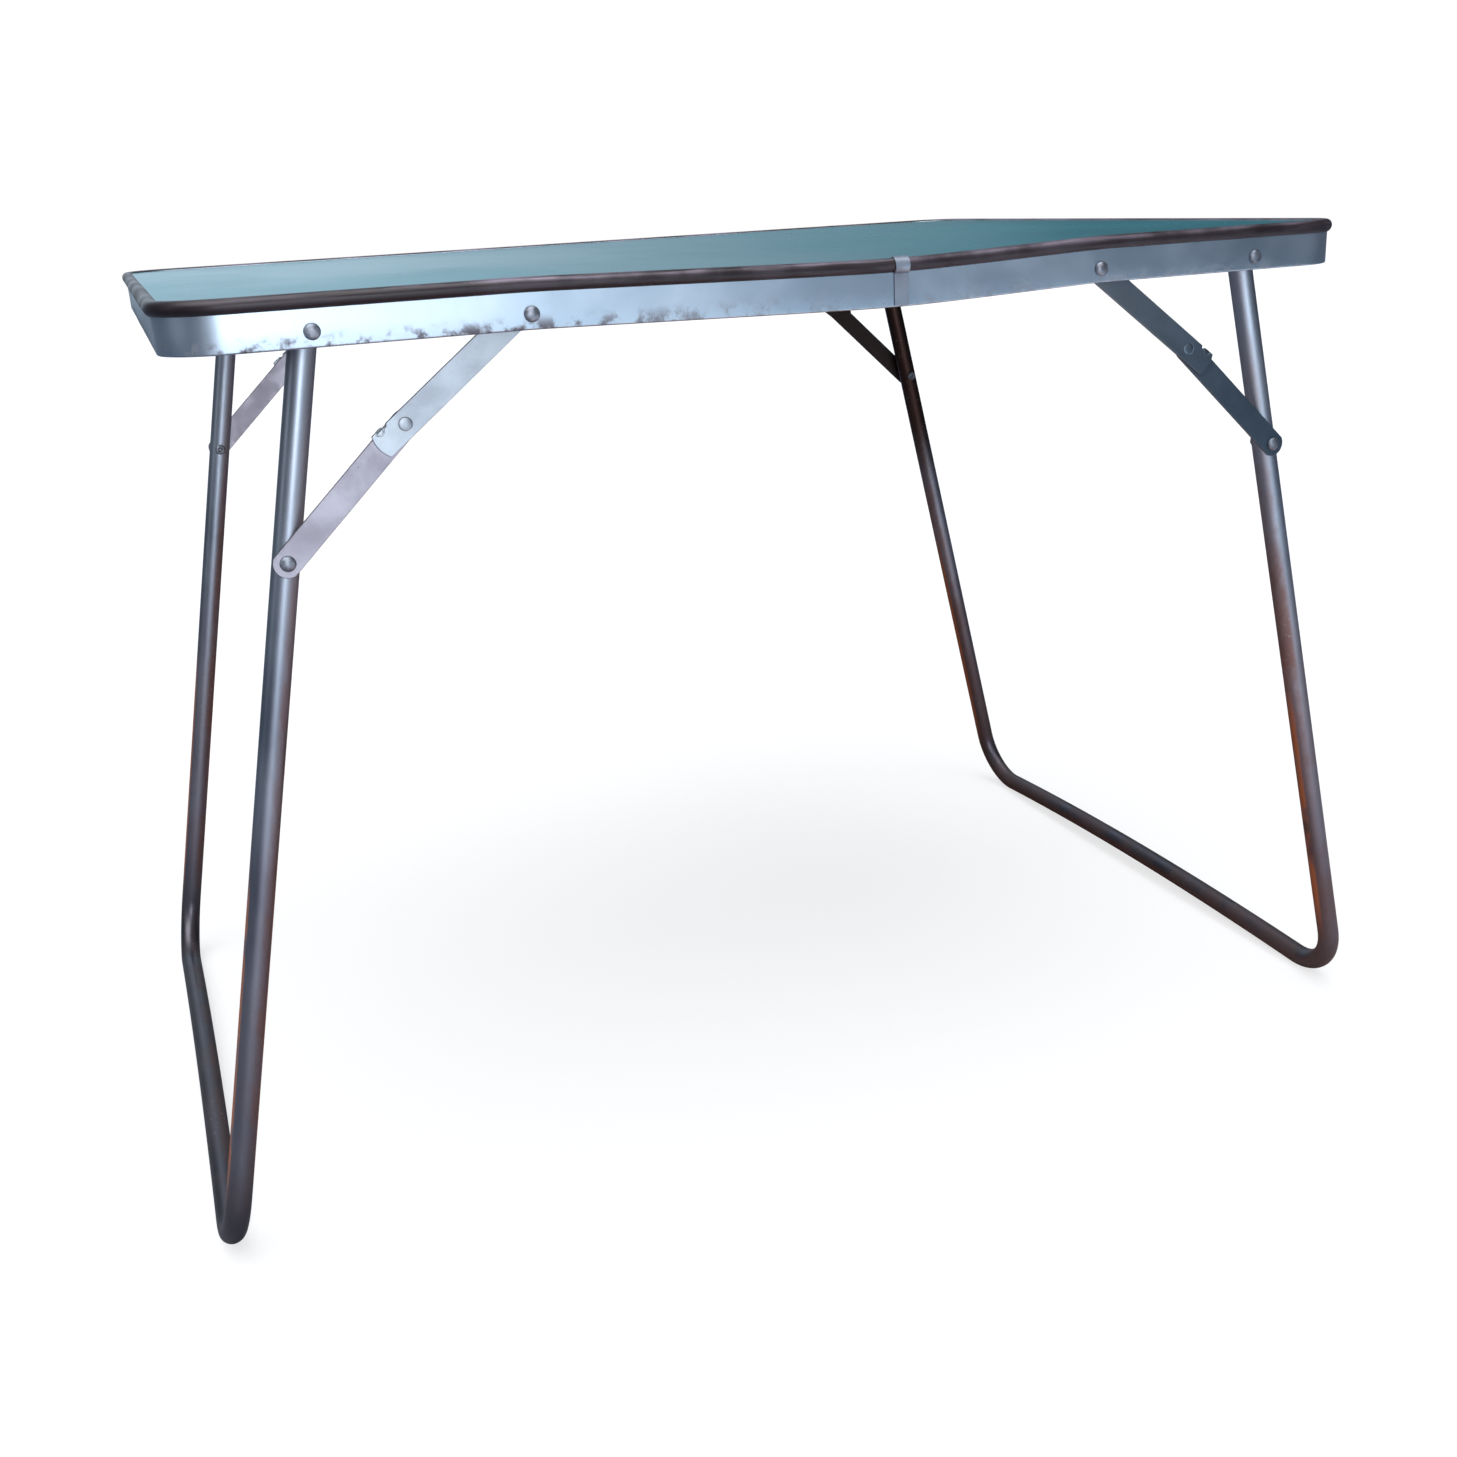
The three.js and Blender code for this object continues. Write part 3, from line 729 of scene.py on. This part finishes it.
def plate(name, outline, holes):
    """A flat plate with rounded edges: outline and holes in the XY plane, centred on z = 0."""
    curve = bpy.data.curves.new(name, "CURVE")
    curve.dimensions = "2D"
    curve.fill_mode = "BOTH"
    curve.extrude = STAY_SHEET / 2 - STAY_EDGE
    curve.bevel_depth = STAY_EDGE
    curve.bevel_resolution = 2
    curve.offset = -STAY_EDGE
    for points in (outline, *holes):
        spline = curve.splines.new("POLY")
        spline.points.add(len(points) - 1)
        spline.use_cyclic_u = True
        for point, (x, y) in zip(spline.points, points):
            point.co = (x, y, 0, 1)
    shape = bpy.data.objects.new(name, curve)
    bpy.context.scene.collection.objects.link(shape)
    bpy.context.view_layer.update()
    mesh = bpy.data.meshes.new_from_object(shape.evaluated_get(bpy.context.evaluated_depsgraph_get()))
    bpy.data.objects.remove(shape)
    bpy.data.curves.remove(curve)
    return mesh


def round_hole(x, radius):
    return arc((x, 0), radius, 0, 2 * math.pi, 32)[:-1]


def upper_link_outline(length):
    """The upper link, with a small half-round notch on the leg's side past the middle rivet."""
    half = STAY_WIDTH / 2
    head_x = UPPER_HEAD_CORNER - UPPER_HEAD
    head_y = half - UPPER_HEAD_CORNER
    tail_x = length + UPPER_TAIL - UPPER_TAIL_RADIUS
    tail_turn = math.asin(half / UPPER_TAIL_RADIUS)
    notch = arc((length + NOTCH_ALONG, half), NOTCH_RADIUS, 0, -math.pi, 12)
    return [
        *arc((head_x, head_y), UPPER_HEAD_CORNER, math.pi / 2, math.pi, 6),
        *arc((head_x, -head_y), UPPER_HEAD_CORNER, math.pi, 1.5 * math.pi, 6),
        *arc((tail_x, 0), UPPER_TAIL_RADIUS, -tail_turn, tail_turn, 18),
        *notch,
    ]


def lower_link_outline(length):
    half = STAY_WIDTH / 2
    shoulder = math.acos(half / LOWER_EYE_RADIUS)
    return [
        *arc((0, 0), half, math.pi / 2, 1.5 * math.pi, 18),
        *arc((length, 0), LOWER_EYE_RADIUS, shoulder - math.pi / 2, math.pi / 2 - shoulder, 22),
    ]


def with_lug(mesh, length):
    """Adds the stop to the upper link: a lug that hangs beside the lower link, and the crescent
    crease that pressing it down has left in the face of the plate."""
    edge = STAY_WIDTH / 2 - LUG_SETBACK
    middle = length + LUG_ALONG
    top = STAY_SHEET / 2
    steps = 14
    wall = []
    crease = []
    for i in range(steps + 1):
        angle = math.pi * (1 + i / steps)
        x = middle + LUG_LENGTH / 2 * math.cos(angle)
        bottom = -top - LUG_DROP + LUG_ROUNDING * (1 + math.sin(angle))
        inner_edge = edge - LUG_SHEET
        wall.append([(x, edge, bottom), (x, edge, top), (x, inner_edge, top), (x, inner_edge, bottom)])
        ring = []
        for out, up in arc((CREASE_REACH, top - CREASE_DEPTH), CREASE_RADIUS, 0, 2 * math.pi, 10)[:-1]:
            ring.append((middle + out * math.cos(angle), edge - CREASE_RADIUS + out * math.sin(angle), up))
        crease.append(ring)
    bm = bmesh.new()
    bm.from_mesh(mesh)
    for rings in (wall, crease):
        part = skinned("stop", rings)
        bm.from_mesh(part)
        bpy.data.meshes.remove(part)
    bm.to_mesh(mesh)
    bm.free()


def stood_up(mesh, start, towards, end, side):
    """Stands a link's mesh in the XZ plane from one pivot towards the other, face outwards."""
    direction = Vector((towards.x - start.x, 0, towards.z - start.z)).normalized()
    upward = Vector((-direction.z * end, 0, direction.x * end))
    outward = Vector((0, side, 0))
    basis = Matrix((direction, upward, outward)).transposed().to_4x4()
    mesh.transform(Matrix.Translation(start) @ basis)


def make_stay(corner, end, side, strips):
    upper_pivot = joint_at[f"upper_link_{corner}"]
    middle = joint_at[f"lower_link_{corner}"]
    rivet_low, rivet_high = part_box(f"stay_leg_rivet_{corner}")
    leg_rivet = (rivet_low + rivet_high) / 2
    for kind, start, towards in (("upper", upper_pivot, middle), ("lower", middle, leg_rivet)):
        node = f"stay_{kind}_{corner}"
        low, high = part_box(node)
        length = math.hypot(towards.x - start.x, towards.z - start.z)
        if kind == "upper":
            holes = [round_hole(0, SHANK_RADIUS + GAP), round_hole(length, FLUSH_HEAD_RADIUS + FLUSH_GAP)]
            mesh = plate(node, upper_link_outline(length), holes)
            with_lug(mesh, length)
            face = high.y - STAY_SHEET / 2 if side > 0 else low.y + STAY_SHEET / 2
        else:
            holes = [round_hole(0, SHANK_RADIUS + GAP), round_hole(length, SHANK_RADIUS + GAP)]
            mesh = plate(node, lower_link_outline(length), holes)
            face = (low.y + high.y) / 2
        set_run(mesh, [vert.co.copy() for vert in mesh.vertices])
        stood_up(mesh, Vector((start.x, face, start.z)), towards, end, side)
        stands_for(finished(f"fine_{node}", mesh, [strips[kind]]), node)


# ---- Rivets and spacers ----

def turned(node, side, profile, steel):
    """A piece turned about Y at its CAD node's place. The profile is (radius, depth) from the
    node's outermost face inwards."""
    low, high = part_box(node)
    centre = (low + high) / 2
    face = high.y if side > 0 else low.y
    sides = 40
    rings = []
    for radius, depth in profile:
        ring = []
        for j in range(sides):
            angle = 2 * math.pi * j / sides
            ring.append(Vector((centre.x + radius * math.cos(angle), face - side * depth,
                                centre.z + radius * math.sin(angle))))
        rings.append(ring)
    closed = profile[0] == profile[-1]
    if closed:
        rings = rings[:-1]
    piece = finished(f"fine_{node}", skinned(f"fine_{node}", rings, closed), [steel], 40)
    stands_for(piece, node)


def depth_of(node):
    low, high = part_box(node)
    return high.y - low.y


def dome_profile():
    """A rivet's head: a low dome with a small rolled edge. It starts a hair off the axis, so that its
    first ring has a size."""
    rise = DOME_HEIGHT - DOME_EDGE
    profile = []
    steps = 12
    for i in range(steps + 1):
        angle = math.pi / 2 * max(i, 0.05) / steps
        profile.append((DOME_RADIUS * math.sin(angle), rise * (1 - math.cos(angle))))
    profile.append((DOME_RADIUS, DOME_HEIGHT - 0.0001))
    profile.append((DOME_RADIUS - 0.0002, DOME_HEIGHT))
    return profile


def tail_profile(start, end):
    """A formed tail: the end of the hollow shank rolled outwards round a dimple."""
    middle = (TAIL_RADIUS + TAIL_DIMPLE) / 2
    roll = (TAIL_RADIUS - TAIL_DIMPLE) / 2
    lip = 0.0002
    profile = [(SHANK_RADIUS, start)]
    steps = 12
    for i in range(steps + 1):
        angle = math.pi * i / steps
        depth = start + lip + (end - start - lip) * math.sin(angle)
        profile.append((middle + roll * math.cos(angle), depth))
    profile.append((0.0010, start + 0.0001))
    return profile


def make_fasteners(corner, side, rivet, strip, spacer):
    node = f"leg_pivot_rivet_{corner}"
    depth = depth_of(node)
    turned(node, side, dome_profile() + [(SHANK_RADIUS, DOME_HEIGHT)]
           + tail_profile(depth - TAIL_HEIGHT, depth), rivet)
    for node in (f"stay_pivot_rivet_{corner}", f"stay_leg_rivet_{corner}"):
        depth = depth_of(node)
        turned(node, side, dome_profile() + [(SHANK_RADIUS, DOME_HEIGHT), (SHANK_RADIUS, depth - CUT_EDGE),
                                             (SHANK_RADIUS - CUT_EDGE, depth)], rivet)
    node = f"stay_leg_rivet_tail_{corner}"
    depth = depth_of(node)
    turned(node, side, [(SHANK_RADIUS - CUT_EDGE, 0), (SHANK_RADIUS, CUT_EDGE)]
           + tail_profile(depth - TAIL_HEIGHT, depth), rivet)
    node = f"stay_middle_rivet_{corner}"
    depth = depth_of(node)
    head = STAY_SHEET - GAP
    turned(node, side, [(0.0005, 0.0001), (FLUSH_HEAD_RADIUS - 0.0002, 0), (FLUSH_HEAD_RADIUS, 0.0001),
                        (FLUSH_HEAD_RADIUS, head), (SHANK_RADIUS, head), (SHANK_RADIUS, depth)], strip)
    for node in (f"leg_pivot_spacer_{corner}", f"stay_pivot_spacer_{corner}"):
        depth = depth_of(node)
        low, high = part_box(node)
        radius = (high.z - low.z) / 2
        bore = SHANK_RADIUS + GAP
        edge = CUT_EDGE
        near = [(bore, edge), (bore + edge, 0), (radius - edge, 0), (radius, edge)]
        far = [(radius, depth - edge), (radius - edge, depth), (bore + edge, depth), (bore, depth - edge)]
        turned(node, side, near + far + near[:1], spacer)


# ---- Stage, light and camera ----

def make_floor():
    """A floor that is plain and pale to the camera. Reflections see it in other tones: dark under
    the table and warm there on the right, dark blue-grey further out, and pale in front."""
    mesh = bpy.data.meshes.new("floor")
    half = 12
    corners = [(-half, -half, 0), (half, -half, 0), (half, half, 0), (-half, half, 0)]
    mesh.from_pydata(corners, [], [(0, 1, 2, 3)])
    g = Graph("pale_floor")
    place = g.place()
    mottle = g.noise(place, 3, 3)
    x = g.axis(place, "X")
    pale = g.mix(mottle, rgb(0.27, 0.27, 0.275), rgb(0.29, 0.29, 0.295))
    to_window = (0.6, -0.8, 0)
    slope = g.towards(place, to_window)
    in_front = g.math("MULTIPLY", g.between(slope, 0.25, 0.85), g.between(x, 1.6, 0.45))
    in_front = g.math("MULTIPLY", in_front, g.between(x, -2.0, -1.1))
    window = g.mix(g.between(slope, 0.6, 1.5), rgb(0.86, 0.70, 0.70), rgb(0.74, 0.90, 1.0))
    distance = g.add("ShaderNodeVectorMath", {0: place}, operation="LENGTH").outputs["Value"]
    under = g.mix(g.between(x, -0.35, -0.05), rgb(0.20, 0.21, 0.24), rgb(0.30, 0.14, 0.09))
    around = g.mix(g.between(distance, 0.5, 1.1), under, rgb(0.065, 0.085, 0.12))
    mirrored = g.mix(in_front, around, window)
    seen = g.add("ShaderNodeLightPath", {}).outputs["Is Camera Ray"]
    color = g.mix(seen, mirrored, pale)
    glow = g.math("MULTIPLY", seen, FLOOR_GLOW)
    mesh.materials.append(g.finish(color, 0.85, 0.0, emission_color=rgb(1, 1, 1), emission_strength=glow))
    floor = bpy.data.objects.new("floor", mesh)
    bpy.context.scene.collection.objects.link(floor)


def make_world():
    """A white studio whose reflections are brightest near the middle and fall off to the sides."""
    world = bpy.data.worlds.new("studio")
    world.use_nodes = True
    tree = world.node_tree
    nodes = tree.nodes
    links = tree.links
    background = nodes["Background"]
    place = nodes.new("ShaderNodeTexCoord")
    split = nodes.new("ShaderNodeSeparateXYZ")
    links.new(place.outputs["Generated"], split.inputs["Vector"])

    def share_along(output):
        """Runs from 0 to 1 over the directions from one side of the world to the other."""
        spread = nodes.new("ShaderNodeMapRange")
        spread.inputs["From Min"].default_value = -1
        links.new(split.outputs[output], spread.inputs["Value"])
        return spread.outputs["Result"]

    def ramp(red, stops):
        node = nodes.new("ShaderNodeValToRGB")
        links.new(share_along("X"), node.inputs["Fac"])
        elements = node.color_ramp.elements
        elements[0].position, elements[1].position = stops[0][0], stops[-1][0]
        for position, _ in stops[1:-1]:
            elements.new(position)
        for element, (_, level) in zip(elements, stops):
            element.color = (level * red, level * 0.95, level * 1.10, 1)
        return node.outputs["Color"]

    front = ramp(0.90, [(0.0, 0.10), (0.28, 0.20), (0.46, 0.95), (0.57, 0.88), (0.64, 0.62), (0.69, 0.43),
                        (0.735, 0.30), (0.77, 0.19), (0.805, 0.07), (1.0, 0.05)])
    back = ramp(0.78, [(0.0, 0.10), (0.28, 0.20), (0.46, 0.96), (0.57, 0.82), (0.65, 0.52), (0.70, 0.36),
                       (0.74, 0.24), (0.768, 0.07), (1.0, 0.05)])
    sides = nodes.new("ShaderNodeMix")
    sides.data_type = "RGBA"
    links.new(share_along("Y"), sides.inputs[0])
    links.new(front, sides.inputs[6])
    links.new(back, sides.inputs[7])
    path = nodes.new("ShaderNodeLightPath")
    seen = nodes.new("ShaderNodeMix")
    seen.data_type = "RGBA"
    links.new(path.outputs["Is Camera Ray"], seen.inputs[0])
    links.new(sides.outputs[2], seen.inputs[6])
    seen.inputs[7].default_value = (1, 1, 1, 1)
    links.new(seen.outputs[2], background.inputs["Color"])
    bpy.context.scene.world = world


def add_light(name, place, target, size, power, color):
    light = bpy.data.lights.new(name, "AREA")
    light.shape = "RECTANGLE"
    light.size, light.size_y = size
    light.energy = power
    light.color = color
    lamp = bpy.data.objects.new(name, light)
    lamp.location = place
    lamp.rotation_euler = (Vector(target) - Vector(place)).to_track_quat("-Z", "Y").to_euler()
    lamp.visible_camera = False
    bpy.context.scene.collection.objects.link(lamp)


def add_sky_light():
    """Soft even light from above, which keeps the whole floor pale."""
    light = bpy.data.lights.new("overhead", "SUN")
    light.energy = SKY_LIGHT
    light.angle = math.radians(70)
    lamp = bpy.data.objects.new("overhead", light)
    lamp.rotation_euler = (math.radians(14), math.radians(-12), 0)
    bpy.context.scene.collection.objects.link(lamp)


def make_lights():
    add_sky_light()
    add_light("window", (-0.35, -3.2, 0.9), (-0.3, 0, 0.6), (0.9, 1.5), 22, (0.92, 0.97, 1.0))
    add_light("left", (-3.0, -0.6, 1.4), (0, 0, 0.4), (0.8, 2.0), 4, (0.85, 0.93, 1.0))
    add_light("right", (2.8, -2.0, 1.2), (0, 0, 0.4), (0.5, 1.8), 0.8, (0.85, 0.93, 1.0))


def make_camera():
    """The photo's camera: left of the middle, a little above the top, looking down to the right."""
    ahead = Vector((math.sin(CAMERA_YAW), math.cos(CAMERA_YAW), 0))
    look = ahead * math.cos(CAMERA_PITCH) - Vector((0, 0, math.sin(CAMERA_PITCH)))
    level = Vector((math.cos(CAMERA_YAW), -math.sin(CAMERA_YAW), 0))
    above = level.cross(look)
    right = level * math.cos(CAMERA_ROLL) + above * math.sin(CAMERA_ROLL)
    up = above * math.cos(CAMERA_ROLL) - level * math.sin(CAMERA_ROLL)
    data = bpy.data.cameras.new("camera")
    data.sensor_width = 36
    data.lens = CAMERA_LENS
    data.shift_x, data.shift_y = CAMERA_SHIFT
    data.clip_end = 100
    camera = bpy.data.objects.new("camera", data)
    basis = Matrix((right, up, -look)).transposed().to_4x4()
    camera.matrix_world = Matrix.Translation(CAMERA_PLACE) @ basis
    bpy.context.scene.collection.objects.link(camera)
    bpy.context.scene.camera = camera


# ---- Making it all ----

make_rim(rim_aluminium(), bead_brown())
make_joint_clip(clip_aluminium())
make_panel(panel_enamel(), hardboard())
tube = tube_steel()
strips = {
    "upper": strip_steel("strip_steel_upper", rgb(0.41, 0.44, 0.48), rgb(0.33, 0.355, 0.40)),
    "lower": strip_steel("strip_steel_lower", rgb(0.335, 0.31, 0.35), rgb(0.27, 0.25, 0.29)),
}
rivet = rivet_steel()
spacer = spacer_steel()
for end_name, end in ENDS:
    make_leg(end_name, end, tube)
    for side_name, side in SIDES:
        corner = f"{end_name}_{side_name}"
        make_stay(corner, end, side, strips)
        make_fasteners(corner, side, rivet, strips["upper"], spacer)

make_floor()
make_world()
make_lights()
make_camera()
bpy.context.scene.view_settings.view_transform = "Standard"
